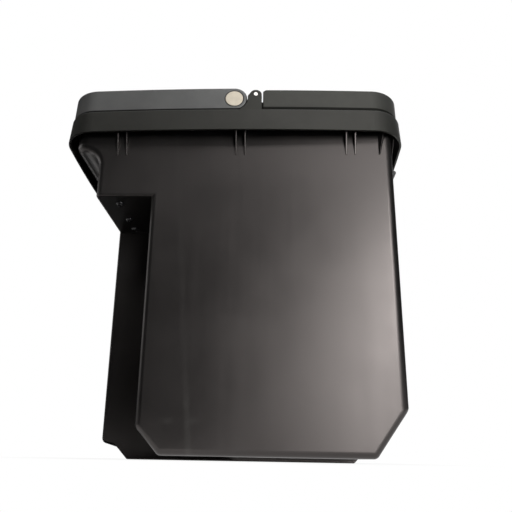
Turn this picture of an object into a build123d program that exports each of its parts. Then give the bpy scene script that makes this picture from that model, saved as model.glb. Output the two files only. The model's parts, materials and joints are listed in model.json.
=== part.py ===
"""
Lift-out waste bucket of a kitchen trash compactor.

Millimetres, +Z up. The front is +X and the rear is -X. The origin is on the floor,
under the middle of the rim. Left (-Y) and right (+Y) are as seen from the front.
"""

import os
from math import cos, radians, sin, sqrt, tan

from build123d import *

os.makedirs("parts", exist_ok=True)

# Rim outline in plan, at the top edge of the collar, and the height of the bucket's rim
rim_half_length = 196.2
rim_half_width = 151.5
rim_corner_radius = 37.0
side_bow = 5.0
end_bow = 6.0
rim_top = 362.0

# Bucket walls, set back from the rim outline, at floor level where they lean
wall = 2.5
draft = 1.33
front_draft = 1.05
rear_draft = 2.2
front_set_back = 24.1
side_set_back = 22.5
panel_set_back = 116.4
core_set_back = 58.8
panel_bottom = 4.0
core_half_width = 37.5
notch_height = 265.0
shoulder_set_back = 17.2
shoulder_drop = 38.0
shoulder_radius = 23.0
shoulder_corner_radius = 16.0
front_corner_radius = 9.0
overhang_corner_radius = 8.0
overhang_edge_radius = 3.0
panel_edge_radius = 6.0
core_edge_radius = 3.0
underside_slope = -0.3
smallest_radius = 0.6

# Lower corners cut off the side panels, as run and rise
front_cut_run = 31.5
front_cut_rise = 42.5
rear_cut_run = 22.5
rear_cut_rise = 23.5
cut_overrun = 0.5

# Plinth under the core and the heel behind it
plinth_front_inset = 39.3
plinth_rear_inset = 29.0
plinth_slope = 12.0
plinth_edge_radius = 3.0
heel_height = 17.0
heel_radius = 6.0

# Flange round the mouth, with gusset ribs in pairs under it
flange_thickness = 2.5
flange_inset = 2.9
rear_rib_inset = 73.3
middle_rib_x = 9.8
front_rib_inset = 64.6
rib_spacing = 10.0
corner_rib_offsets = (-13.0, 3.5)
rib_thickness = 1.5
rib_height = 47.0
rib_knee_drop = 20.0
rib_toe = 0.4
rib_edge_gap = 0.6

# Collar
ledge_thickness = 3.0
skirt_height = 27.0
skirt_wall = 2.2
skirt_flare = 0.8
collar_edge_radius = 0.8
upstand_inset = 12.0
upstand_wall = 2.5
upstand_height = 14.0
catch_width = 6.0
catch_reach = 2.0
catch_lip = 1.0
catch_height = 5.0
seat_clearance = 0.3

# Carry handle and its pivots
pivot_x = 1.8
handle_gap = 1.0
handle_inset = 1.2
handle_thickness = 8.5
handle_half_height = 14.75
handle_skin = 3.0
handle_edge_radius = 1.5
handle_rib_pitch = 34.0
handle_rib_thickness = 2.0
eye_block = 24.0
lug_radius = 11.0
lug_thickness = 4.9
cap_diameter = 20.4
cap_thickness = 1.4
cap_proud = 0.2
screw_head_diameter = 14.0
screw_head_height = 2.5
shoulder_diameter = 9.0
thread_diameter = 6.0
socket_width = 5.0
socket_depth = 1.5
bush_wall = 1.5
bush_flange_diameter = 18.0
bush_flange_thickness = 1.0
nut_width = 10.0
nut_height = 4.0
thread_end = 0.8

# Hinge tabs and the liner retainer
pin_offset = 8.85
pin_rise = 21.3
pin_diameter = 5.0
tab_radius = 6.8
tab_drop = 1.4
tab_thickness = 4.5
tab_root = 2.0
tab_foot_angle = -62.0
tab_neck_angle = 10.0
tab_shoulder_angle = 160.0
eye_gap = 0.7
retainer_gap = 1.4
retainer_height = 27.3
retainer_inset = 2.2
retainer_wall = 3.0
retainer_corner_radius = 4.5
retainer_edge_radius = 1.0
lip_wall = 2.0
lip_gap = 0.7
lip_overlap = 4.0
ear_radius = 6.0
ear_thickness = 4.8
ear_length = 18.0
ear_arm_rise = 13.0
ear_arm_depth = 10.6
retainer_rib_pitch = 42.0
retainer_rib_thickness = 2.0

# Front grip under the collar
grip_half_width = 70.0
grip_wall_gap = 0.6
grip_plate = 3.0
grip_leg = 2.2
grip_skirt_gap = 2.2
grip_drop = 8.5
grip_lip_height = 5.5
grip_lip_radius = 2.4
grip_bend_radius = 0.8
grip_screw_spacing = 100.0
grip_screw_diameter = 2.2
grip_screw_head_diameter = 4.4
grip_screw_head_height = 1.6
grip_screw_end = 0.8

# Bumpers under the overhang, spread between the panel face and the core
bumper_rear_inset = 13.2
bumper_panel_inset = 19.0
bumper_core_gap = 12.7
bumper_spread = (0.0, 0.61, 1.0)
bumper_diameter = 9.0
bumper_height = 2.8
bumper_bevel = 1.8
bumper_stem_diameter = 4.4
bumper_barb_diameter = 5.6
bumper_barb_height = 1.8

# Fits
running_clearance = 0.05
push_clearance = 0.02
free_clearance = 0.15

# Places that several pieces share
base_front = rim_half_length - front_set_back
base_half_width = rim_half_width - side_set_back
panel_rear = panel_set_back - rim_half_length
core_rear = core_set_back - rim_half_length
shoulder_rear = shoulder_set_back - rim_half_length
shoulder_bottom = rim_top - shoulder_drop
overhang_root = notch_height + wall + overhang_edge_radius
plinth_front = base_front - plinth_front_inset
plinth_rear = core_rear + plinth_rear_inset
bumper_x = core_rear + bumper_rear_inset
rib_stations = (rear_rib_inset - rim_half_length, middle_rib_x, rim_half_length - front_rib_inset)
rib_bottom = rim_top - rib_height
rib_knee = rim_top - rib_knee_drop
collar_top = rim_top + ledge_thickness
collar_bottom = collar_top - skirt_height
upstand_top = collar_top + upstand_height
pivot_height = collar_top + handle_gap + handle_half_height
pin_height = collar_top + pin_rise
flange_bottom = rim_top - flange_thickness
upstand_inner = upstand_inset + upstand_wall
handle_inner = handle_inset + handle_thickness
handle_bottom = pivot_height - handle_half_height
handle_top = pivot_height + handle_half_height
bush_seat = handle_inner + push_clearance
lug_inset = bush_seat + bush_flange_thickness + seat_clearance
lug_inner = lug_inset + lug_thickness
bush_diameter = shoulder_diameter + 2 * (bush_wall + running_clearance)
retainer_bottom = collar_top + retainer_gap
retainer_top = retainer_bottom + retainer_height
tab_centre_height = pin_height - tab_drop
tab_hollow = handle_half_height + eye_gap
pin_x = pivot_x + tab_hollow + pin_offset
tab_front = pin_x + tab_radius
retainer_rear = tab_front + retainer_gap
retainer_inner = retainer_inset + retainer_wall
retainer_middle = retainer_inset + retainer_wall / 2
lip_outer = upstand_inner + lip_gap
lip_inner = lip_outer + lip_wall
ear_inset = tab_thickness + seat_clearance
ear_arm_top = collar_top + ear_arm_rise
ear_arm_bottom = ear_arm_top - ear_arm_depth
ear_front = pin_x + ear_length
sides = {"left": -1, "right": 1}


def lean(height, angle):
    """Sideways growth of a leaning wall from the floor up to a height."""
    return height * tan(radians(angle))


def front_x(height):
    return base_front + lean(height, front_draft)


def side_y(height):
    return base_half_width + lean(height, draft)


def panel_rear_x(height):
    return panel_rear - lean(height, draft)


def core_rear_x(height):
    return core_rear - lean(height, rear_draft)


def inner_radius(radius, inset):
    """Corner radius on the inside of a wall."""
    return max(radius - inset, smallest_radius)


def rim_y(x, inset):
    """Half width of the bowed rim outline at a place along its length."""
    chord = rim_half_length - end_bow - inset
    bow_radius = (chord**2 + side_bow**2) / (2 * side_bow)
    return rim_half_width - inset - bow_radius + sqrt(bow_radius**2 - x**2)


def rim_plan(inset, height):
    """Rounded rectangle with bowed sides, the rim outline moved inward."""
    crown_x = rim_half_length - inset
    crown_y = rim_half_width - inset
    end_x = crown_x - end_bow
    end_y = crown_y - side_bow
    with BuildSketch(Plane.XY.offset(height)) as plan:
        with BuildLine():
            ThreePointArc((-end_x, -end_y), (0, -crown_y), (end_x, -end_y))
            ThreePointArc((end_x, -end_y), (crown_x, 0), (end_x, end_y))
            ThreePointArc((end_x, end_y), (0, crown_y), (-end_x, end_y))
            ThreePointArc((-end_x, end_y), (-crown_x, 0), (-end_x, -end_y))
        make_face()
        fillet(plan.vertices(), rim_corner_radius - inset)
    return plan.sketch


def rim_band(outer_inset, inner_inset, low, high):
    """Band that follows the rim between two insets and two heights."""
    with BuildPart() as band:
        extrude(rim_plan(outer_inset, low), amount=high - low)
        extrude(rim_plan(inner_inset, low), amount=high - low, mode=Mode.SUBTRACT)
    return band.part


def side_plane(side, x, height, inset):
    """Upright plane along a long side of the rim, from which side * depth leads inward."""
    origin = (x, side * (rim_half_width - inset), height)
    return Plane(origin=origin, x_dir=(1, 0, 0), z_dir=(0, -1, 0))


def box_plan(rear, front, half_width, rear_radius, front_radius, height):
    """Rectangle in plan with one radius at its rear corners and one at its front."""
    with BuildSketch(Plane.XY.offset(height)) as plan:
        with Locations(((rear + front) / 2, 0)):
            Rectangle(front - rear, 2 * half_width)
        fillet(plan.vertices().group_by(Axis.X)[0], rear_radius)
        fillet(plan.vertices().group_by(Axis.X)[-1], front_radius)
    return plan.sketch


def corner_cut(low_point, high_point, inset):
    """Prism across the bucket, outside a line that cuts off a lower corner."""
    low = Vector(*low_point)
    high = Vector(*high_point)
    overrun = (high - low) * cut_overrun
    start = low - overrun
    end = high + overrun
    with BuildPart() as cut:
        with BuildSketch(Plane.XZ):
            with BuildLine():
                Polyline((start.X, start.Y), (end.X, end.Y), (end.X, start.Y), close=True)
            make_face()
            if inset:
                offset(amount=inset, kind=Kind.INTERSECTION)
        extrude(amount=2 * base_half_width, both=True)
    return cut.part


def wide_body(inset):
    """Body between the two side panels, with its lower corners cut off."""
    low = panel_bottom + inset
    high = overhang_root
    rear_radius = inner_radius(panel_edge_radius, inset)
    front_radius = inner_radius(front_corner_radius, inset)
    sections = []
    for height in (low, high):
        rear = panel_rear_x(height) + inset
        front = front_x(height) - inset
        half_width = side_y(height) - inset
        sections.append(box_plan(rear, front, half_width, rear_radius, front_radius, height))
    front_foot = (front_x(panel_bottom) - front_cut_run, panel_bottom)
    front_head = (front_x(panel_bottom), panel_bottom + front_cut_rise)
    rear_foot = (panel_rear_x(panel_bottom) + rear_cut_run, panel_bottom)
    rear_head = (panel_rear_x(panel_bottom), panel_bottom + rear_cut_rise)
    front_cut = corner_cut(front_foot, front_head, inset)
    rear_cut = corner_cut(rear_foot, rear_head, inset)
    with BuildPart() as body:
        loft(sections, ruled=True)
        add(front_cut, mode=Mode.SUBTRACT)
        add(rear_cut, mode=Mode.SUBTRACT)
        lower_faces = body.faces().filter_by(lambda face: face.normal_at().Z < underside_slope)
        fillet(lower_faces.edges(), rear_radius)
    return body.part


def core_body(inset):
    """Narrow middle of the bucket, with its plinth below and its heel behind."""
    top = overhang_root
    with BuildPart() as body:
        with BuildSketch(Plane.XZ) as profile:
            with BuildLine():
                Polyline(
                    (plinth_front, 0),
                    (plinth_rear, 0),
                    (plinth_rear - plinth_slope, plinth_slope),
                    (core_rear_x(heel_height), heel_height),
                    (core_rear_x(top), top),
                    (plinth_front + plinth_slope, top),
                    (plinth_front + plinth_slope, plinth_slope),
                    close=True,
                )
            make_face()
            heel = profile.vertices().sort_by_distance((core_rear, heel_height, 0))[0]
            fillet(heel, heel_radius)
            if inset:
                offset(amount=-inset, kind=Kind.INTERSECTION)
            else:
                fillet(profile.vertices().group_by(Axis.Y)[0], plinth_edge_radius)
        extrude(amount=core_half_width - inset, both=True)
        if not inset:
            rear_face = body.faces().filter_by(GeomType.PLANE).sort_by(Axis.X)[0]
            fillet(rear_face.edges().filter_by(Axis.Y, reverse=True), core_edge_radius)
    return body.part


def under_shoulder(inset):
    """Space behind the rear wall and below the shoulder, with a hollow round at their meeting."""
    low = notch_height - shoulder_radius
    rear = shoulder_rear - shoulder_radius
    with BuildPart() as space:
        with BuildSketch(Plane.XZ) as profile:
            with BuildLine():
                Polyline(
                    (core_rear_x(low), low),
                    (core_rear_x(shoulder_bottom), shoulder_bottom),
                    (rear, shoulder_bottom),
                    (rear, low),
                    close=True,
                )
            make_face()
            meeting = (core_rear_x(shoulder_bottom), shoulder_bottom, 0)
            fillet(profile.vertices().sort_by_distance(meeting)[0], shoulder_radius)
            if inset:
                offset(amount=inset)
        extrude(amount=rim_half_width, both=True)
    return space.part


def upper_body(inset):
    """Full-width top of the bucket, with a shoulder that swells out at the rear under the rim."""
    low = notch_height + inset
    rear_radius = inner_radius(shoulder_corner_radius, inset)
    front_radius = inner_radius(front_corner_radius, inset)
    sections = []
    for height in (low, rim_top + inset):
        rear = shoulder_rear + inset
        front = front_x(height) - inset
        half_width = side_y(height) - inset
        sections.append(box_plan(rear, front, half_width, rear_radius, front_radius, height))
    with BuildPart() as body:
        loft(sections, ruled=True)
        add(under_shoulder(inset), mode=Mode.SUBTRACT)
        rear_wall = body.faces().filter_by(Axis.X, tolerance=2 * rear_draft).sort_by(Axis.Z)[0]
        upright_edges = rear_wall.edges().filter_by(Axis.Y, reverse=True)
        fillet(upright_edges, inner_radius(overhang_corner_radius, inset))
        if not inset:
            fillet(body.faces().sort_by(Axis.Z)[0].edges(), overhang_edge_radius)
    return body.part


def gusset(edge_point, outward, wall_normal, wall_distance):
    """Rib from a wall out to the flange's edge, tapering down to the wall."""
    foot = (wall_distance - edge_point.dot(wall_normal)) / outward.dot(wall_normal)
    root = foot - wall
    plane = Plane(origin=edge_point, x_dir=outward, z_dir=outward.cross(Vector(0, 0, 1)))
    with BuildPart() as rib:
        with BuildSketch(plane):
            with BuildLine():
                Polyline(
                    (root, rib_bottom),
                    (foot + rib_toe, rib_bottom),
                    (-rib_edge_gap, rib_knee),
                    (-rib_edge_gap, flange_bottom + rib_edge_gap),
                    (root, flange_bottom + rib_edge_gap),
                    close=True,
                )
            make_face()
        extrude(amount=rib_thickness / 2, both=True)
    return rib.part


def corner_station(side):
    """Middle of a front corner on the flange's edge, with its outward direction."""
    radius = rim_corner_radius - flange_inset
    centre_x = rim_half_length - end_bow / 2 - rim_corner_radius
    centre_y = rim_y(centre_x, flange_inset) - radius
    outward = Vector(1, side, 0).normalized()
    return Vector(centre_x, side * centre_y, 0) + outward * radius, outward


def gussets(side):
    """All ribs of one long side and of the front corner beside it."""
    across = Vector(0, side, 0)
    ribs = []
    for station in rib_stations:
        for x in (station - rib_spacing / 2, station + rib_spacing / 2):
            edge = Vector(x, side * rim_y(x, flange_inset), 0)
            ribs.append(gusset(edge, across, across, side_y(rib_bottom)))
    station, outward = corner_station(side)
    along = Vector(outward.Y * side, -outward.X * side, 0)
    walls = ((across, side_y(rib_bottom)), (Vector(1, 0, 0), front_x(rib_bottom)))
    radius = rim_corner_radius - flange_inset
    for shift, (normal, distance) in zip(corner_rib_offsets, walls):
        set_back = radius - sqrt(radius**2 - shift**2)
        edge = station + along * shift - outward * set_back
        ribs.append(gusset(edge, outward, normal, distance))
    return ribs


# Bucket shell: outer form, flange and ribs, less the space inside the walls
side_ribs = [rib for side in sides.values() for rib in gussets(side)]
bumper_outer_y = side_y(notch_height) - bumper_panel_inset
bumper_inner_y = core_half_width + bumper_core_gap
bumper_places = [
    (bumper_x, side * (bumper_outer_y + share * (bumper_inner_y - bumper_outer_y)), notch_height)
    for side in sides.values()
    for share in bumper_spread
]
grip_front = rim_half_length - skirt_wall - grip_skirt_gap
grip_rear = front_x(flange_bottom) + grip_wall_gap
grip_screw_x = (grip_rear + grip_front - grip_leg - grip_bend_radius) / 2
grip_screw_places = [
    (grip_screw_x, side * grip_screw_spacing / 2, flange_bottom) for side in sides.values()
]
outer_forms = [wide_body(0), core_body(0), upper_body(0)]
inner_forms = [wide_body(wall), core_body(wall), upper_body(wall)]
with BuildPart() as bucket_shell:
    for form in outer_forms:
        add(form)
    extrude(rim_plan(flange_inset, flange_bottom), amount=flange_thickness)
    for rib in side_ribs:
        add(rib)
    for form in inner_forms:
        add(form, mode=Mode.SUBTRACT)
    with Locations(*bumper_places):
        Cylinder(bumper_stem_diameter / 2 + free_clearance, 2 * wall, mode=Mode.SUBTRACT)
    with Locations(*grip_screw_places):
        Cylinder(grip_screw_diameter / 2 + free_clearance, 3 * flange_thickness, mode=Mode.SUBTRACT)
bucket_shell.part.label = "bucket_shell"
export_step(bucket_shell.part, "parts/bucket_shell.step")


def catch(edge_point, outward):
    """Snap catch inside the skirt that hooks under the flange's edge."""
    top = flange_bottom - seat_clearance
    plane = Plane(origin=edge_point, x_dir=outward, z_dir=outward.cross(Vector(0, 0, 1)))
    behind = flange_inset - skirt_wall / 2
    with BuildPart() as hook:
        with BuildSketch(plane):
            with BuildLine():
                Polyline(
                    (behind, top),
                    (-catch_reach, top),
                    (-catch_reach, top - catch_lip),
                    (behind, top - catch_height),
                    close=True,
                )
            make_face()
        extrude(amount=catch_width / 2, both=True)
    return hook.part


def hollow_point(angle):
    """Point on the tab's hollow edge, by its angle round the handle's eye."""
    turn = radians(angle)
    return pivot_x + tab_hollow * cos(turn), pivot_height + tab_hollow * sin(turn)


def hinge_tab(side):
    """Tab that rises from the collar, hollowed for the handle's round eye."""
    base = collar_top - tab_root
    foot = hollow_point(tab_foot_angle)
    bend = hollow_point((tab_foot_angle + tab_neck_angle) / 2)
    neck = hollow_point(tab_neck_angle)
    turn = radians(tab_shoulder_angle)
    shoulder = (pin_x + tab_radius * cos(turn), tab_centre_height + tab_radius * sin(turn))
    with BuildPart() as tab:
        with BuildSketch(side_plane(side, 0, 0, 0)):
            with BuildLine():
                Line((foot[0], base), foot)
                ThreePointArc(foot, bend, neck)
                Line(neck, shoulder)
                ThreePointArc(
                    shoulder,
                    (pin_x, tab_centre_height + tab_radius),
                    (tab_front, tab_centre_height),
                )
                Line((tab_front, tab_centre_height), (tab_front, base))
                Line((tab_front, base), (foot[0], base))
            make_face()
        extrude(amount=side * tab_thickness)
        extrude(rim_plan(0, base), amount=2 * retainer_height, mode=Mode.INTERSECT)
        with BuildSketch(side_plane(side, pin_x, pin_height, 0)):
            Circle(pin_diameter / 2 + push_clearance)
        extrude(amount=side * tab_thickness, mode=Mode.SUBTRACT)
    return tab.part


def pivot_lug(side):
    """Round-topped lug beside the handle's eye, for the pivot screw."""
    with BuildPart() as lug:
        with BuildSketch(side_plane(side, 0, 0, lug_inset)):
            with Locations((pivot_x, pivot_height)):
                Circle(lug_radius)
            with Locations((pivot_x, (pivot_height + rim_top) / 2)):
                Rectangle(2 * lug_radius, pivot_height - rim_top)
        extrude(amount=side * lug_thickness)
    return lug.part


# Rim collar
skirt_foot = rim_plan(-skirt_flare, collar_bottom)
skirt_head = rim_plan(0, collar_top)
skirt_foot_inside = rim_plan(skirt_wall - skirt_flare, collar_bottom)
skirt_head_inside = rim_plan(skirt_wall, collar_top)
ledge = rim_band(skirt_wall / 2, upstand_inner, rim_top, collar_top)
upstand = rim_band(upstand_inset, upstand_inner, rim_top, upstand_top)
tabs = [hinge_tab(side) for side in sides.values()]
lugs = [pivot_lug(side) for side in sides.values()]
catches = [
    catch(Vector(x, side * rim_y(x, flange_inset), 0), Vector(0, side, 0))
    for side in sides.values()
    for x in rib_stations
]
with BuildPart() as rim_collar:
    loft([skirt_foot, skirt_head], ruled=True)
    loft([skirt_foot_inside, skirt_head_inside], ruled=True, mode=Mode.SUBTRACT)
    add(ledge)
    top_face = rim_collar.faces().filter_by(Axis.Z).sort_by(Axis.Z)[-1]
    fillet(top_face.outer_wire().edges(), collar_edge_radius)
    for piece in [upstand] + tabs + lugs + catches:
        add(piece)
    for side in sides.values():
        with BuildSketch(side_plane(side, pivot_x, pivot_height, lug_inset)):
            Circle(thread_diameter / 2 + free_clearance)
        extrude(amount=side * lug_thickness, mode=Mode.SUBTRACT)
    with Locations(*grip_screw_places):
        Cylinder(
            grip_screw_diameter / 2 + push_clearance,
            collar_top - flange_bottom - grip_screw_end + push_clearance,
            align=(Align.CENTER, Align.CENTER, Align.MIN),
            mode=Mode.SUBTRACT,
        )
rim_collar.part.label = "rim_collar"
export_step(rim_collar.part, "parts/rim_collar.step")


def rib_places(start, end, pitch):
    """Evenly spaced places between two ends, about one pitch apart."""
    count = max(int(abs(end - start) / pitch), 1)
    return [start + (end - start) * (number + 0.5) / count for number in range(count)]


def cross_ribs(run_start, run_end, pitch, thickness):
    """Slabs across the rim at even places along both long sides and along one end."""
    height = 4 * handle_half_height
    end_x = rim_half_length if run_end > 0 else -rim_half_length
    end_run = rim_half_width - rim_corner_radius
    with BuildPart() as slabs:
        for x in rib_places(run_start, run_end, pitch):
            with Locations((x, 0, pivot_height)):
                Box(thickness, 2 * rim_half_width, height)
        for y in rib_places(-end_run, end_run, pitch):
            with Locations((end_x, y, pivot_height)):
                Box(2 * rim_corner_radius, thickness, height)
    return slabs.part


# Carry handle: a strap cored out from inside, with cross ribs left in it
strap = rim_band(handle_inset, handle_inner, handle_bottom, handle_top)
handle_ribs = cross_ribs(
    pivot_x - eye_block, rim_corner_radius - rim_half_length, handle_rib_pitch, handle_rib_thickness
)
hollow_band = rim_band(
    handle_inset + handle_skin,
    handle_inner + handle_skin,
    handle_bottom + handle_skin,
    handle_top - handle_skin,
)
with BuildPart() as handle_core:
    add(hollow_band)
    with Locations((pivot_x - eye_block, 0, pivot_height)):
        Box(
            2 * rim_half_length,
            2 * rim_half_width,
            2 * handle_half_height,
            align=(Align.MIN, Align.CENTER, Align.CENTER),
            mode=Mode.SUBTRACT,
        )
    add(handle_ribs, mode=Mode.SUBTRACT)
cap_seat = handle_inset - cap_proud + cap_thickness
head_top = cap_seat + seat_clearance
head_seat = head_top + screw_head_height
with BuildPart() as carry_handle:
    add(strap)
    with BuildSketch(Plane.XZ):
        with Locations((pivot_x, pivot_height)):
            Circle(handle_half_height)
            Rectangle(
                2 * rim_half_length,
                2 * handle_half_height,
                align=(Align.MAX, Align.CENTER),
            )
    extrude(amount=rim_half_width, both=True, mode=Mode.INTERSECT)
    fillet(carry_handle.edges().filter_by(GeomType.LINE, reverse=True), handle_edge_radius)
    add(handle_core.part, mode=Mode.SUBTRACT)
    for side in sides.values():
        with BuildSketch(side_plane(side, pivot_x, pivot_height, 0)):
            Circle(cap_diameter / 2 + push_clearance)
        extrude(amount=side * cap_seat, mode=Mode.SUBTRACT)
        with BuildSketch(side_plane(side, pivot_x, pivot_height, cap_seat)):
            Circle(screw_head_diameter / 2 + seat_clearance)
        extrude(amount=side * (head_seat - cap_seat), mode=Mode.SUBTRACT)
        with BuildSketch(side_plane(side, pivot_x, pivot_height, head_seat)):
            Circle(bush_diameter / 2 + push_clearance)
        extrude(amount=side * handle_thickness, mode=Mode.SUBTRACT)
carry_handle.part.label = "carry_handle"
export_step(carry_handle.part, "parts/carry_handle.step")

# Liner retainer: an inverted channel over the upstand, with an ear at each end
lip_bottom = upstand_top - lip_overlap
roof_bottom = retainer_top - retainer_wall
roof_middle = retainer_top - retainer_wall / 2
retainer_bands = [
    rim_band(retainer_inset, retainer_inner, retainer_bottom, retainer_top),
    rim_band(retainer_middle, lip_inner, roof_bottom, retainer_top),
    rim_band(lip_outer, lip_inner, lip_bottom, retainer_top),
]
rib_band = rim_band(
    retainer_middle,
    lip_outer + lip_wall / 2,
    upstand_top + seat_clearance,
    roof_bottom,
)
retainer_ribs = cross_ribs(
    ear_front,
    rim_half_length - rim_corner_radius,
    retainer_rib_pitch,
    retainer_rib_thickness,
)
with BuildPart() as retainer_webs:
    add(rib_band)
    add(retainer_ribs, mode=Mode.INTERSECT)
with BuildPart() as liner_retainer:
    for band in retainer_bands:
        add(band)
    with BuildSketch(Plane.XZ) as side_view:
        with Locations((retainer_rear, retainer_top)):
            Rectangle(rim_half_length, 2 * retainer_height, align=(Align.MIN, Align.MAX))
        fillet(side_view.vertices().group_by(Axis.X)[0].sort_by(Axis.Y)[-1], retainer_corner_radius)
    extrude(amount=rim_half_width, both=True, mode=Mode.INTERSECT)
    top_face = liner_retainer.faces().sort_by(Axis.Z)[-1]
    fillet(top_face.edges().sort_by(Axis.X)[-1], retainer_edge_radius)
    add(retainer_webs.part)
    for side in sides.values():
        with BuildSketch(side_plane(side, 0, 0, ear_inset)):
            with Locations((pin_x, pin_height)):
                Circle(ear_radius)
                Rectangle(2 * ear_radius, pin_height - ear_arm_top, align=(Align.CENTER, Align.MAX))
            with Locations((pin_x - ear_radius, ear_arm_top)):
                Rectangle(ear_radius + ear_length, ear_arm_depth, align=(Align.MIN, Align.MAX))
        extrude(amount=side * ear_thickness)
        with BuildSketch(side_plane(side, retainer_rear, ear_arm_bottom, retainer_middle)):
            Rectangle(ear_front - retainer_rear, roof_middle - ear_arm_bottom, align=(Align.MIN, Align.MIN))
        extrude(amount=side * (ear_inset + ear_thickness - retainer_middle))
        with BuildSketch(side_plane(side, pin_x, pin_height, ear_inset)):
            Circle(pin_diameter / 2 + running_clearance)
        extrude(amount=side * ear_thickness, mode=Mode.SUBTRACT)
liner_retainer.part.label = "liner_retainer"
export_step(liner_retainer.part, "parts/liner_retainer.step")

# Front grip: a plate under the flange, a leg behind the skirt and a rounded lip
grip_bottom = collar_bottom - grip_drop
grip_tip = rim_half_length + skirt_flare
with BuildPart() as front_grip:
    with BuildSketch(Plane.XZ) as grip_profile:
        with BuildLine():
            Polyline(
                (grip_rear, flange_bottom),
                (grip_front, flange_bottom),
                (grip_front, grip_bottom + grip_lip_height),
                (grip_tip, grip_bottom + grip_lip_height),
                (grip_tip, grip_bottom),
                (grip_front - grip_leg, grip_bottom),
                (grip_front - grip_leg, flange_bottom - grip_plate),
                (grip_rear, flange_bottom - grip_plate),
                close=True,
            )
        make_face()
        fillet(grip_profile.vertices().group_by(Axis.X)[-1], grip_lip_radius)
        bends = (
            (grip_front, grip_bottom + grip_lip_height, 0),
            (grip_front - grip_leg, flange_bottom - grip_plate, 0),
        )
        for bend in bends:
            fillet(grip_profile.vertices().sort_by_distance(bend)[0], grip_bend_radius)
    extrude(amount=grip_half_width, both=True)
    with Locations(*grip_screw_places):
        Cylinder(grip_screw_diameter / 2 + free_clearance, 4 * grip_plate, mode=Mode.SUBTRACT)
front_grip.part.label = "front_grip"
export_step(front_grip.part, "parts/front_grip.step")

# Screws of the front grip, one beside each end
for name, (x, y, height) in zip(sides, grip_screw_places):
    seat = height - grip_plate
    with BuildPart() as grip_screw:
        with Locations((x, y, seat)):
            Cylinder(
                grip_screw_head_diameter / 2,
                grip_screw_head_height,
                align=(Align.CENTER, Align.CENTER, Align.MAX),
            )
            Cylinder(
                grip_screw_diameter / 2,
                collar_top - grip_screw_end - seat,
                align=(Align.CENTER, Align.CENTER, Align.MIN),
            )
        chamfer(grip_screw.edges().sort_by(Axis.Z)[0], grip_screw_head_height / 2)
    grip_screw.part.label = f"grip_screw_{name}"
    export_step(grip_screw.part, f"parts/grip_screw_{name}.step")

# Pivot hardware and hinge pins, one set on each side
for name, side in sides.items():
    with BuildPart() as pivot_cap:
        with BuildSketch(side_plane(side, pivot_x, pivot_height, handle_inset - cap_proud)):
            Circle(cap_diameter / 2)
        extrude(amount=side * cap_thickness)
        outer_face = pivot_cap.faces().sort_by(Axis.Y)[0 if side < 0 else -1]
        chamfer(outer_face.edges(), cap_thickness / 3)
    pivot_cap.part.label = f"pivot_cap_{name}"
    export_step(pivot_cap.part, f"parts/pivot_cap_{name}.step")

    with BuildPart() as pivot_screw:
        with BuildSketch(side_plane(side, pivot_x, pivot_height, head_top)):
            Circle(screw_head_diameter / 2)
        extrude(amount=side * (screw_head_height - seat_clearance))
        with BuildSketch(side_plane(side, pivot_x, pivot_height, head_top)):
            Circle(shoulder_diameter / 2)
        extrude(amount=side * (lug_inset - head_top))
        with BuildSketch(side_plane(side, pivot_x, pivot_height, head_top)):
            Circle(thread_diameter / 2)
        extrude(amount=side * (lug_inner + nut_height + thread_end - head_top))
        with BuildSketch(side_plane(side, pivot_x, pivot_height, head_top)):
            RegularPolygon(socket_width / 2, 6, major_radius=False)
        extrude(amount=side * socket_depth, mode=Mode.SUBTRACT)
    pivot_screw.part.label = f"pivot_screw_{name}"
    export_step(pivot_screw.part, f"parts/pivot_screw_{name}.step")

    with BuildPart() as pivot_bush:
        with BuildSketch(side_plane(side, pivot_x, pivot_height, head_seat)):
            Circle(bush_diameter / 2)
        extrude(amount=side * (bush_seat - head_seat))
        with BuildSketch(side_plane(side, pivot_x, pivot_height, bush_seat)):
            Circle(bush_flange_diameter / 2)
        extrude(amount=side * bush_flange_thickness)
        with BuildSketch(side_plane(side, pivot_x, pivot_height, head_seat)):
            Circle(shoulder_diameter / 2 + running_clearance)
        extrude(amount=side * handle_thickness, mode=Mode.SUBTRACT)
    pivot_bush.part.label = f"pivot_bush_{name}"
    export_step(pivot_bush.part, f"parts/pivot_bush_{name}.step")

    with BuildPart() as pivot_nut:
        with BuildSketch(side_plane(side, pivot_x, pivot_height, lug_inner)):
            RegularPolygon(nut_width / 2, 6, major_radius=False)
            Circle(thread_diameter / 2 + push_clearance, mode=Mode.SUBTRACT)
        extrude(amount=side * nut_height)
    pivot_nut.part.label = f"pivot_nut_{name}"
    export_step(pivot_nut.part, f"parts/pivot_nut_{name}.step")

    with BuildPart() as hinge_pin:
        with BuildSketch(side_plane(side, pin_x, pin_height, free_clearance)):
            Circle(pin_diameter / 2)
        extrude(amount=side * (ear_inset + ear_thickness))
        chamfer(hinge_pin.edges(), seat_clearance)
    hinge_pin.part.label = f"hinge_pin_{name}"
    export_step(hinge_pin.part, f"parts/hinge_pin_{name}.step")

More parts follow.
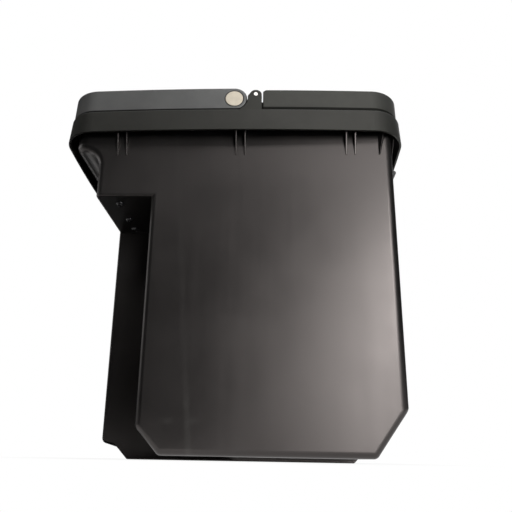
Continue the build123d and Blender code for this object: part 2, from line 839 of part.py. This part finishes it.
# Push-in bumpers under the overhang
stem = bumper_stem_diameter / 2
barb_foot = wall + free_clearance
for number, place in enumerate(bumper_places):
    name = list(sides)[number // len(bumper_spread)]
    axis_plane = Plane(origin=place, x_dir=(1, 0, 0), z_dir=(0, -1, 0))
    with BuildPart() as shelf_bumper:
        with BuildSketch(axis_plane):
            with BuildLine():
                Polyline(
                    (0, -bumper_height),
                    (0, barb_foot + bumper_barb_height),
                    (stem / 2, barb_foot + bumper_barb_height),
                    (bumper_barb_diameter / 2, barb_foot),
                    (stem, barb_foot),
                    (stem, 0),
                    (bumper_diameter / 2, 0),
                    (bumper_diameter / 2, bumper_bevel - bumper_height),
                    (bumper_diameter / 2 - bumper_bevel, -bumper_height),
                    close=True,
                )
            make_face()
        revolve(axis=Axis(place, (0, 0, 1)))
    label = f"shelf_bumper_{name}_{number % len(bumper_spread) + 1}"
    shelf_bumper.part.label = label
    export_step(shelf_bumper.part, f"parts/{label}.step")
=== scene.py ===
"""Studio scene of the compactor bucket: materials on the CAD nodes, floor, cloths, light and camera."""

import json
import math

import bpy
from mathutils import Matrix, Vector

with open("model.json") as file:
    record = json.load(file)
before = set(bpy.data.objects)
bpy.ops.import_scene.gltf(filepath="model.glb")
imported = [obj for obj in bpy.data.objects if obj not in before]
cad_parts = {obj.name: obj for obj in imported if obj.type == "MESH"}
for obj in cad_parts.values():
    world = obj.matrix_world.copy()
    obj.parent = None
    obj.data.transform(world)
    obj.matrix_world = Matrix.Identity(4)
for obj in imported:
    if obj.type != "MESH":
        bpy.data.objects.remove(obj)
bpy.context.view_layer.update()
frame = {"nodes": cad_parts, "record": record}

# Camera fitted to the photograph, in pixels, millimetres of sensor, metres and degrees.
IMAGE_SIZE = 512
FOCAL_PIXELS = 506.4
SENSOR_MM = 36.0
CLIP_START = 0.01
CAMERA_PLACE = (0.0468, -0.6146, 0.0025)
CAMERA_PITCH, CAMERA_YAW, CAMERA_ROLL = 21.85, 2.11, 1.06

# Places on the part that the painted shade in the gaps follows, in metres.
PIVOT_X, PIVOT_Z = 0.0018, 0.38075
EYE_RADIUS, CAP_RADIUS, EYE_GAP = 0.01475, 0.0102, 0.0007
HANDLE_UNDERSIDE = PIVOT_Z - EYE_RADIUS
HOLLOW_RADIUS = EYE_RADIUS + EYE_GAP
RETAINER_UNDERSIDE = 0.3664
STRAP_START = PIVOT_X + 0.004
CAP_RING = CAP_RADIUS + 0.0003

# Bands over which the painted shade ends, in metres from the place that it follows.
UNDER_STRAP_BAND = (0.0012, 0.0022)
UNDER_RETAINER_BAND = (0.0032, 0.0042)
HOLLOW_BAND = (0.0002, 0.0010)
EYE_END_BAND = (-0.0004, -0.0012)
CAP_RING_BAND = (0.0003, 0.0008)

# Ageing, painted shade and painted highlight that all the plastics share: shares of a layer, factors on the
# base colour, colours, metres.
MOTTLE_DARK, MOTTLE_LIGHT = 0.86, 1.16
# Edges lighten as worn plastic and, in part, as a painted highlight along edges and rib edges.
WEAR_AND_HIGHLIGHT_SHARE, WEAR_AND_HIGHLIGHT_GAIN, WEAR_POLISH = 0.45, 2.6, 0.08
DUST_SHARE, DUST_COLOUR = 0.16, (0.30, 0.28, 0.25)
PALE_MARK_COLOUR = (0.30, 0.30, 0.28)
# Painted shade: crevices are darkened in colour and in sheen, over this reach.
CREVICE_SHADE_REACH, CREVICE_SHADE_TONE, CREVICE_SHADE_SHINE = 0.004, 0.30, 0.15
WIPE_STRETCH = (120.0, 120.0, 3.5)
WIPE_ROUGHENING = 0.018

# Pale marks on the left panel, in metres and shares of the pale colour. The long streak leans to the rear as
# it rises.
NEAR_SIDE_START, NEAR_SIDE_FULL = -0.110, -0.118
STREAK_LEAN, STREAK_PLACE, STREAK_HALF_WIDTH = 0.10, 0.0282, 0.0055
STREAK_TOP, STREAK_FOOT, STREAK_TOP_SHARE, STREAK_FOOT_SHARE = 0.30, 0.06, 0.010, 0.018
FOOT_PATCH_HALF_WIDTH, FOOT_PATCH_CORE, FOOT_PATCH_START, FOOT_PATCH_FULL, FOOT_PATCH_SHARE = 0.0040, 0.001, 0.062, 0.050, 0.040
SPOT_PLACES, SPOT_HEIGHT = (-0.050, -0.0265), 0.034
SPOT_RADIUS, SPOT_SQUEEZE, SPOT_SHARE = 0.005, 0.55, 0.034

# Metals.
METAL_EDGE, METAL_EDGE_SHARE, METAL_EDGE_GAIN = 0.0004, 0.5, 1.25

# Rubber.
BLOOM_SHARE, BLOOM_COLOUR, BLOOM_ROUGHENING = 0.25, (0.07, 0.07, 0.07), 0.18

# Stage, in metres. The floor is shown white, but for a share near the object that keeps its shadow.
FLOOR_REACH = 4
FLOOR_DARK, FLOOR_LIGHT = 0.80, 0.84
SHADOW_REACH, WHITE_REACH, SHADOW_WHITE = 0.12, 0.30, 0.88
STAGE_LEFT, STAGE_RIGHT, STAGE_FRONT, STAGE_BACK = -1.7, 1.6, -1.6, 3.4
CORNER_Y, BACK_CORNER_X = -1.1, 0.25
CLOTH_SPLIT_Y, OBJECT_EDGE_Y = -0.50, -0.10
FLAG_HEIGHT, CLOTH_HEIGHT = 1.75, 0.001
WEAVE_DARK = 0.9
WORLD_FILL = 0.14

# Sampling of the bevel and open-air nodes, and the cosines that an edge is told by.
BEVEL_SAMPLES, AIR_SAMPLES = 6, 8
FLAT_COSINE, SHARP_COSINE = 0.995, 0.80


def rgb(red, green, blue):
    return (red, green, blue, 1.0)


def grey(level):
    return rgb(level, level, level)


def scaled(colour, factor):
    return rgb(colour[0] * factor, colour[1] * factor, colour[2] * factor)


def seen_rays(tree):
    """1 for rays from the camera, from gloss and through clear pieces, 0 for those that only light."""
    rays = tree.nodes.new("ShaderNodeLightPath")
    seen = rays.outputs["Is Camera Ray"]
    for other in ("Is Glossy Ray", "Is Transmission Ray"):
        larger = tree.nodes.new("ShaderNodeMath")
        larger.operation = "MAXIMUM"
        tree.links.new(seen, larger.inputs[0])
        tree.links.new(rays.outputs[other], larger.inputs[1])
        seen = larger.outputs["Value"]
    return seen


class Paint:
    """A procedural material with one Principled shader, built up node by node."""

    def __init__(self, name):
        self.material = bpy.data.materials.new(name)
        self.material.use_nodes = True
        self.tree = self.material.node_tree
        self.tree.nodes.clear()
        self.shader = self.node("ShaderNodeBsdfPrincipled")
        self.output = self.node("ShaderNodeOutputMaterial")
        self.link(self.shader.outputs["BSDF"], self.output.inputs["Surface"])
        self.place = self.node("ShaderNodeTexCoord").outputs["Object"]

    def node(self, kind, **settings):
        made = self.tree.nodes.new(kind)
        for key, value in settings.items():
            setattr(made, key, value)
        return made

    def link(self, source, target):
        self.tree.links.new(source, target)

    def feed(self, socket, value):
        """Links an output to a socket, or writes a plain value on it."""
        if isinstance(value, bpy.types.NodeSocket):
            self.link(value, socket)
        else:
            socket.default_value = value

    def set(self, **values):
        """Feeds the shader's sockets by name, with _ for each space."""
        for key, value in values.items():
            self.feed(self.shader.inputs[key.replace("_", " ")], value)

    def stretched(self, scale):
        mapping = self.node("ShaderNodeMapping")
        self.link(self.place, mapping.inputs["Vector"])
        mapping.inputs["Scale"].default_value = scale
        return mapping.outputs["Vector"]

    def noise(self, scale, detail=3.0, roughness=0.5, place=None):
        made = self.node("ShaderNodeTexNoise")
        self.link(place or self.place, made.inputs["Vector"])
        made.inputs["Scale"].default_value = scale
        made.inputs["Detail"].default_value = detail
        made.inputs["Roughness"].default_value = roughness
        return made.outputs["Fac"]

    def ramp(self, value, low, high, to_low=0.0, to_high=1.0):
        """Maps low..high onto to_low..to_high, smoothly and without overshoot; low may be the larger."""
        made = self.node("ShaderNodeMapRange", interpolation_type="SMOOTHSTEP")
        self.feed(made.inputs["Value"], value)
        made.inputs["From Min"].default_value = low
        made.inputs["From Max"].default_value = high
        made.inputs["To Min"].default_value = to_low
        made.inputs["To Max"].default_value = to_high
        return made.outputs["Result"]

    def math(self, operation, first, second=0.0):
        made = self.node("ShaderNodeMath", operation=operation)
        self.feed(made.inputs[0], first)
        self.feed(made.inputs[1], second)
        return made.outputs["Value"]

    def product(self, first, *others):
        for other in others:
            first = self.math("MULTIPLY", first, other)
        return first

    def total(self, first, *others):
        for other in others:
            first = self.math("ADD", first, other)
        return first

    def mix(self, factor, first, second):
        """Blends two colours, or outputs that carry one."""
        made = self.node("ShaderNodeMix", data_type="RGBA")
        self.feed(made.inputs["Factor"], factor)
        for name, value in (("A", first), ("B", second)):
            socket = [s for s in made.inputs if s.name == name and s.type == "RGBA"][0]
            self.feed(socket, value)
        return [s for s in made.outputs if s.type == "RGBA"][0]

    def bump(self, height, strength, distance, normal):
        made = self.node("ShaderNodeBump")
        made.inputs["Strength"].default_value = strength
        made.inputs["Distance"].default_value = distance
        self.link(height, made.inputs["Height"])
        self.link(normal, made.inputs["Normal"])
        return made.outputs["Normal"]

    def rounded(self, radius):
        made = self.node("ShaderNodeBevel", samples=BEVEL_SAMPLES)
        made.inputs["Radius"].default_value = radius
        return made.outputs["Normal"]

    def edges(self, radius):
        """1 on sharp edges, falling to 0 about one radius away from them."""
        flat = self.node("ShaderNodeNewGeometry").outputs["True Normal"]
        made = self.node("ShaderNodeVectorMath", operation="DOT_PRODUCT")
        self.link(flat, made.inputs[0])
        self.link(self.rounded(radius), made.inputs[1])
        return self.ramp(made.outputs["Value"], FLAT_COSINE, SHARP_COSINE)

    def open_air(self, reach):
        """0 deep in a crevice narrower than the reach, 1 on an open face."""
        made = self.node("ShaderNodeAmbientOcclusion", samples=AIR_SAMPLES)
        made.inputs["Distance"].default_value = reach
        return self.ramp(made.outputs["AO"], 0.25, 0.75)

    def along(self, axis, vector=None):
        """One coordinate of a vector, or of the place on the part."""
        split = self.node("ShaderNodeSeparateXYZ")
        self.link(vector or self.place, split.inputs["Vector"])
        return split.outputs[axis]

    def from_line(self, x, z, squeeze=1.0):
        """Distance from a line along Y, with lengths along X counted at a share."""
        across = self.product(self.math("SUBTRACT", self.along("X"), x), squeeze)
        upward = self.math("SUBTRACT", self.along("Z"), z)
        squares = self.total(self.product(across, across), self.product(upward, upward))
        return self.math("SQRT", squares)

    def facing_up(self):
        """1 on faces that look up, 0 on upright ones."""
        normal = self.node("ShaderNodeNewGeometry").outputs["Normal"]
        return self.ramp(self.along("Z", normal), 0.55, 0.95)


def moulded_plastic(name, colour, roughness, specular, edge_radius=0.0008, tint=(1.0, 1.0, 1.0),
                    gap_shade=None, marks=None):
    """Satin moulded plastic: grain, mottling, wipe streaks, dust, painted shade in crevices and gaps, and
    worn edges with a painted highlight.
    """
    paint = Paint(name)
    mottle = paint.ramp(paint.noise(scale=34.0, detail=5.0, roughness=0.6), 0.3, 0.7)
    base = paint.mix(mottle, scaled(colour, MOTTLE_DARK), scaled(colour, MOTTLE_LIGHT))
    rubbed = paint.ramp(paint.noise(scale=160.0, detail=4.0), 0.35, 0.65)
    # Lighter edges: worn plastic, and in part a painted highlight along edges and rib edges.
    wear_and_highlight = paint.product(paint.edges(edge_radius), rubbed)
    base = paint.mix(paint.product(wear_and_highlight, WEAR_AND_HIGHLIGHT_SHARE), base, scaled(colour, WEAR_AND_HIGHLIGHT_GAIN))
    settled = paint.ramp(paint.noise(scale=70.0, detail=6.0, roughness=0.7), 0.35, 0.8)
    dust = paint.product(paint.facing_up(), settled)
    base = paint.mix(paint.product(dust, DUST_SHARE), base, rgb(*DUST_COLOUR))
    if marks:
        base = paint.mix(marks(paint), base, rgb(*PALE_MARK_COLOUR))
    # Painted shade: darker colour and weaker sheen in crevices and, where given, in the gaps between parts.
    unshaded = paint.open_air(CREVICE_SHADE_REACH)
    if gap_shade:
        unshaded = paint.product(unshaded, gap_shade(paint))
    base = paint.mix(unshaded, scaled(colour, CREVICE_SHADE_TONE), base)
    shine = paint.product(paint.ramp(unshaded, 0.0, 1.0, CREVICE_SHADE_SHINE, 1.0), specular)
    smudge = paint.noise(scale=7.0, detail=5.0, roughness=0.62)
    wiped = paint.noise(scale=1.0, detail=3.0, roughness=0.55, place=paint.stretched(WIPE_STRETCH))
    rough = paint.total(paint.ramp(smudge, 0.3, 0.7, roughness - 0.03, roughness + 0.04),
                        paint.ramp(wiped, 0.35, 0.75, 0.0, WIPE_ROUGHENING))
    rough = paint.math("SUBTRACT", rough, paint.product(wear_and_highlight, WEAR_POLISH))
    wavy = paint.bump(paint.noise(scale=11.0, detail=2.0), strength=0.05, distance=0.002,
                      normal=paint.rounded(edge_radius))
    grain = paint.bump(paint.noise(scale=2600.0, detail=2.0), strength=0.06, distance=0.0002, normal=wavy)
    paint.set(Base_Color=base, Roughness=rough, Normal=grain, Specular_IOR_Level=shine,
              Specular_Tint=rgb(*tint))
    return paint.material


def panel_marks(paint):
    """Pale patches added to the colour: a faint streak down the left panel, a broader patch at its foot and
    two small spots.
    """
    height = paint.along("Z")
    lean = paint.product(height, STREAK_LEAN)
    beside = paint.math("ABSOLUTE", paint.total(paint.along("X"), lean, STREAK_PLACE))
    streak = paint.product(paint.ramp(beside, STREAK_HALF_WIDTH, 0.0),
                         paint.ramp(height, STREAK_TOP, STREAK_FOOT, STREAK_TOP_SHARE, STREAK_FOOT_SHARE))
    foot_patch = paint.product(paint.ramp(beside, FOOT_PATCH_HALF_WIDTH, FOOT_PATCH_CORE),
                          paint.ramp(height, FOOT_PATCH_START, FOOT_PATCH_FULL, 0.0, FOOT_PATCH_SHARE))
    pale_share = paint.total(streak, foot_patch)
    for place in SPOT_PLACES:
        reach = paint.from_line(place, SPOT_HEIGHT, SPOT_SQUEEZE)
        pale_share = paint.total(pale_share, paint.ramp(reach, SPOT_RADIUS, 0.0, 0.0, SPOT_SHARE))
    patchy = paint.ramp(paint.noise(scale=90.0, detail=3.0), 0.30, 0.70, 0.5, 1.0)
    near_side = paint.ramp(paint.along("Y"), NEAR_SIDE_START, NEAR_SIDE_FULL)
    return paint.product(pale_share, patchy, near_side)


def band(place, offsets):
    return (place + offsets[0], place + offsets[1])


def handle_gap_shade(paint):
    """0 in the painted shade under the strap, round the cap and round the free end of the eye, 1 elsewhere.
    """
    reach = paint.from_line(PIVOT_X, PIVOT_Z)
    under = paint.ramp(paint.along("Z"), *band(HANDLE_UNDERSIDE, UNDER_STRAP_BAND))
    ring = paint.math("ABSOLUTE", paint.math("SUBTRACT", reach, CAP_RING))
    ring = paint.ramp(ring, *CAP_RING_BAND)
    strap = paint.ramp(paint.along("X"), STRAP_START, PIVOT_X)
    end = paint.math("MAXIMUM", strap, paint.ramp(reach, *band(EYE_RADIUS, EYE_END_BAND)))
    return paint.product(under, ring, end)


def retainer_gap_shade(paint):
    """0 in the painted shade along the frame's lower edge, 1 elsewhere."""
    return paint.ramp(paint.along("Z"), *band(RETAINER_UNDERSIDE, UNDER_RETAINER_BAND))


def collar_hollow_shade(paint):
    """0 in the painted shade in the hollow that the handle's eye turns in, 1 elsewhere."""
    reach = paint.from_line(PIVOT_X, PIVOT_Z)
    return paint.ramp(reach, *band(HOLLOW_RADIUS, HOLLOW_BAND))


def satin_metal(name, colour, roughness, brushed):
    """Satin metal with a fine grain, stretched as given, handling marks and brighter edges."""
    paint = Paint(name)
    line = paint.noise(scale=1.0, detail=4.0, roughness=0.6, place=paint.stretched(brushed))
    cloud = paint.ramp(paint.noise(scale=180.0, detail=4.0), 0.3, 0.7)
    base = paint.mix(cloud, scaled(colour, 0.96), scaled(colour, 1.04))
    worn = paint.product(paint.edges(METAL_EDGE), METAL_EDGE_SHARE)
    base = paint.mix(worn, base, scaled(colour, METAL_EDGE_GAIN))
    rough = paint.total(paint.ramp(line, 0.3, 0.7, roughness - 0.05, roughness + 0.06),
                        paint.ramp(cloud, 0.0, 1.0, 0.0, 0.02))
    fine = paint.bump(line, strength=0.06, distance=0.0001, normal=paint.rounded(METAL_EDGE))
    paint.set(Base_Color=base, Roughness=rough, Normal=fine, Metallic=1.0)
    return paint.material


def soft_rubber(name, colour, roughness):
    """Moulded rubber: glossy where it is rubbed, with a dusty bloom in patches."""
    paint = Paint(name)
    bloom = paint.ramp(paint.noise(scale=300.0, detail=5.0, roughness=0.6), 0.45, 0.75)
    base = paint.mix(paint.product(bloom, BLOOM_SHARE), colour, rgb(*BLOOM_COLOUR))
    rough = paint.ramp(bloom, 0.0, 1.0, roughness, roughness + BLOOM_ROUGHENING)
    fine = paint.bump(paint.noise(scale=1800.0, detail=2.0), strength=0.05, distance=0.0002,
                      normal=paint.rounded(0.0010))
    paint.set(Base_Color=base, Roughness=rough, Normal=fine)
    return paint.material


finishes = {
    "bucket": moulded_plastic("bucket_plastic", grey(0.0046), roughness=0.35, specular=0.78,
                              tint=(1.0, 0.90, 0.865), marks=panel_marks),
    "collar": moulded_plastic("collar_plastic", rgb(0.012, 0.012, 0.0105), roughness=0.42, specular=0.30,
                              tint=(1.0, 0.98, 0.91), gap_shade=collar_hollow_shade),
    "handle": moulded_plastic("handle_plastic", rgb(0.050, 0.050, 0.0487), roughness=0.42, specular=0.85,
                              gap_shade=handle_gap_shade),
    "retainer": moulded_plastic("retainer_plastic", rgb(0.020, 0.0205, 0.018), roughness=0.42,
                                specular=0.32, edge_radius=0.0006, tint=(1.0, 0.98, 0.91),
                                gap_shade=retainer_gap_shade),
    "grip": moulded_plastic("grip_plastic", grey(0.014), roughness=0.38, specular=0.40),
    "cap": satin_metal("cap_satin", rgb(0.51, 0.46, 0.38), roughness=0.42, brushed=(60.0, 60.0, 2600.0)),
    "pin": satin_metal("pin_steel", rgb(0.86, 0.82, 0.79), roughness=0.34, brushed=(60.0, 60.0, 3000.0)),
    "bush": moulded_plastic("bush_acetal", rgb(0.60, 0.58, 0.52), roughness=0.40, specular=0.40,
                            edge_radius=0.0003),
    "fastener": satin_metal("zinc_plate", rgb(0.56, 0.56, 0.54), roughness=0.35,
                            brushed=(900.0, 900.0, 900.0)),
    "bumper": soft_rubber("bumper_rubber", rgb(0.010, 0.010, 0.011), roughness=0.16),
}
for entry in frame["record"]["subparts"]:
    mesh = frame["nodes"][entry["node"]].data
    mesh.materials.clear()
    mesh.materials.append(finishes[entry["material_slot"]])


def stage_sheet(name, corners, material, seen_by_camera=True):
    mesh = bpy.data.meshes.new(name)
    mesh.from_pydata(corners, [], [tuple(range(len(corners)))])
    sheet = bpy.data.objects.new(name, mesh)
    sheet.visible_camera = seen_by_camera
    mesh.materials.append(material)
    bpy.context.collection.objects.link(sheet)
    return sheet


def lying(corners, height):
    return [(x, y, height) for x, y in corners]


def level_rectangle(left, front, right, back, height):
    return lying([(left, front), (right, front), (right, back), (left, back)], height)


def upright(start, end, bottom=0.0, top=FLAG_HEIGHT):
    return [(*start, bottom), (*end, bottom), (*end, top), (*start, top)]


def pale_floor():
    """Pale matt floor, shown white to the camera and in gloss, with the object's shadow near it."""
    paint = Paint("pale_floor")
    cloud = paint.noise(scale=3.0, detail=4.0)
    paint.set(Base_Color=paint.mix(cloud, grey(FLOOR_DARK), grey(FLOOR_LIGHT)), Roughness=0.8)
    away = paint.node("ShaderNodeVectorMath", operation="LENGTH")
    paint.link(paint.place, away.inputs[0])
    white = paint.ramp(away.outputs["Value"], SHADOW_REACH, WHITE_REACH, SHADOW_WHITE, 1.0)
    glow = paint.node("ShaderNodeEmission")
    blend = paint.node("ShaderNodeMixShader")
    paint.link(paint.product(seen_rays(paint.tree), white), blend.inputs[0])
    paint.link(paint.shader.outputs["BSDF"], blend.inputs[1])
    paint.link(glow.outputs["Emission"], blend.inputs[2])
    paint.link(blend.outputs["Shader"], paint.output.inputs["Surface"])
    return paint.material


stage_sheet("floor", level_rectangle(-FLOOR_REACH, -FLOOR_REACH, FLOOR_REACH, FLOOR_REACH, 0), pale_floor())


def dark_cloth(name, level):
    paint = Paint(name)
    weave = paint.noise(scale=40.0, detail=3.0)
    paint.set(Base_Color=paint.mix(weave, grey(level * WEAVE_DARK), grey(level)), Roughness=0.9)
    return paint.material


def flag(name, corners, material, shades=False):
    """Cloth that shows in the object's sheen but not to the camera, and blocks the lamps if it shades."""
    sheet = stage_sheet(name, corners, material, seen_by_camera=False)
    sheet.visible_shadow = shades


black_cloth = dark_cloth("black_cloth", 0.02)
grey_cloth = dark_cloth("grey_cloth", 0.05)
mid_cloth = dark_cloth("mid_cloth", 0.40)
flag("front_flag", upright((-2.6, STAGE_FRONT), (0.36, STAGE_FRONT)), black_cloth)
flag("corner_flag", upright((0.80, STAGE_FRONT), (STAGE_RIGHT, CORNER_Y)), black_cloth)
flag("left_flag", upright((STAGE_LEFT, STAGE_FRONT), (STAGE_LEFT, 3.6), top=2.4), grey_cloth)
flag("right_flag", upright((STAGE_RIGHT, CORNER_Y), (STAGE_RIGHT, 1.8)), black_cloth)
flag("ground_cloth", lying([(-0.75, OBJECT_EDGE_Y), (0.0, OBJECT_EDGE_Y), (BACK_CORNER_X, STAGE_BACK),
                            (-0.75, STAGE_BACK)], CLOTH_HEIGHT), black_cloth)
flag("front_cloth", level_rectangle(STAGE_LEFT, CLOTH_SPLIT_Y, 0.07, -0.19, CLOTH_HEIGHT), mid_cloth)
flag("near_cloth", level_rectangle(STAGE_LEFT, STAGE_FRONT, -0.02, CLOTH_SPLIT_Y, CLOTH_HEIGHT), black_cloth)
flag("recess_flag", upright((-0.30, -0.17), (-0.066, -0.17), bottom=0.03, top=0.20), mid_cloth, shades=True)
flag("rear_flag", upright((STAGE_LEFT, STAGE_BACK), (BACK_CORNER_X, STAGE_BACK)), black_cloth)


def soft_light(name, place, target, width, height, power, lean=0.0):
    """Rectangular lamp aimed at a target and turned about its own axis by the lean, in degrees."""
    lamp = bpy.data.lights.new(name, "AREA")
    lamp.shape = "RECTANGLE"
    lamp.size = width
    lamp.size_y = height
    lamp.energy = power
    light = bpy.data.objects.new(name, lamp)
    aim = (Vector(target) - Vector(place)).to_track_quat("-Z", "Y").to_matrix().to_4x4()
    light.matrix_world = Matrix.Translation(place) @ aim @ Matrix.Rotation(math.radians(lean), 4, "Z")
    bpy.context.collection.objects.link(light)


soft_light("key", place=(0.64, -1.52, 0.40), target=(0.10, -0.13, 0.16), width=0.36, height=0.88,
           power=20.0, lean=-22.0)
soft_light("fill", place=(0.25, -1.52, 1.35), target=(0.0, -0.13, 0.30), width=0.90, height=0.50, power=4.2)
soft_light("top", place=(0.20, -0.30, 1.60), target=(0.0, 0.0, 0.3), width=1.2, height=1.2, power=8.0)
soft_light("rear", place=(-1.50, 0.10, 0.55), target=(-0.15, 0.0, 0.25), width=0.9, height=0.7, power=2.0)


def studio_world():
    """White to the camera and in gloss, and a low even fill as a light."""
    world = bpy.data.worlds.new("studio")
    bpy.context.scene.world = world
    world.use_nodes = True
    sky = world.node_tree
    level = sky.nodes.new("ShaderNodeMapRange")
    level.inputs["To Min"].default_value = WORLD_FILL
    level.inputs["To Max"].default_value = 1.0
    sky.links.new(seen_rays(sky), level.inputs["Value"])
    background = sky.nodes["Background"]
    sky.links.new(level.outputs["Result"], background.inputs["Strength"])
    background.inputs["Color"].default_value = grey(1.0)


def photo_camera():
    """Camera at the photograph's place, turned by yaw, then pitch, then roll."""
    pitch, yaw, roll = (math.radians(a) for a in (CAMERA_PITCH, CAMERA_YAW, CAMERA_ROLL))
    level_right = Vector((math.cos(yaw), math.sin(yaw), 0))
    level_ahead = Vector((-math.sin(yaw), math.cos(yaw), 0))
    up = Vector((0, 0, 1))
    ahead = math.cos(pitch) * level_ahead + math.sin(pitch) * up
    above = math.cos(pitch) * up - math.sin(pitch) * level_ahead
    right = math.cos(roll) * level_right + math.sin(roll) * above
    above = math.cos(roll) * above - math.sin(roll) * level_right
    camera = bpy.data.objects.new("camera", bpy.data.cameras.new("camera"))
    camera.data.sensor_width = SENSOR_MM
    camera.data.lens = SENSOR_MM * FOCAL_PIXELS / IMAGE_SIZE
    camera.data.clip_start = CLIP_START
    turn = Matrix((right, above, -ahead)).transposed()
    camera.matrix_world = Matrix.Translation(CAMERA_PLACE) @ turn.to_4x4()
    bpy.context.collection.objects.link(camera)
    bpy.context.scene.camera = camera


studio_world()
photo_camera()
bpy.context.scene.view_settings.view_transform = "Standard"
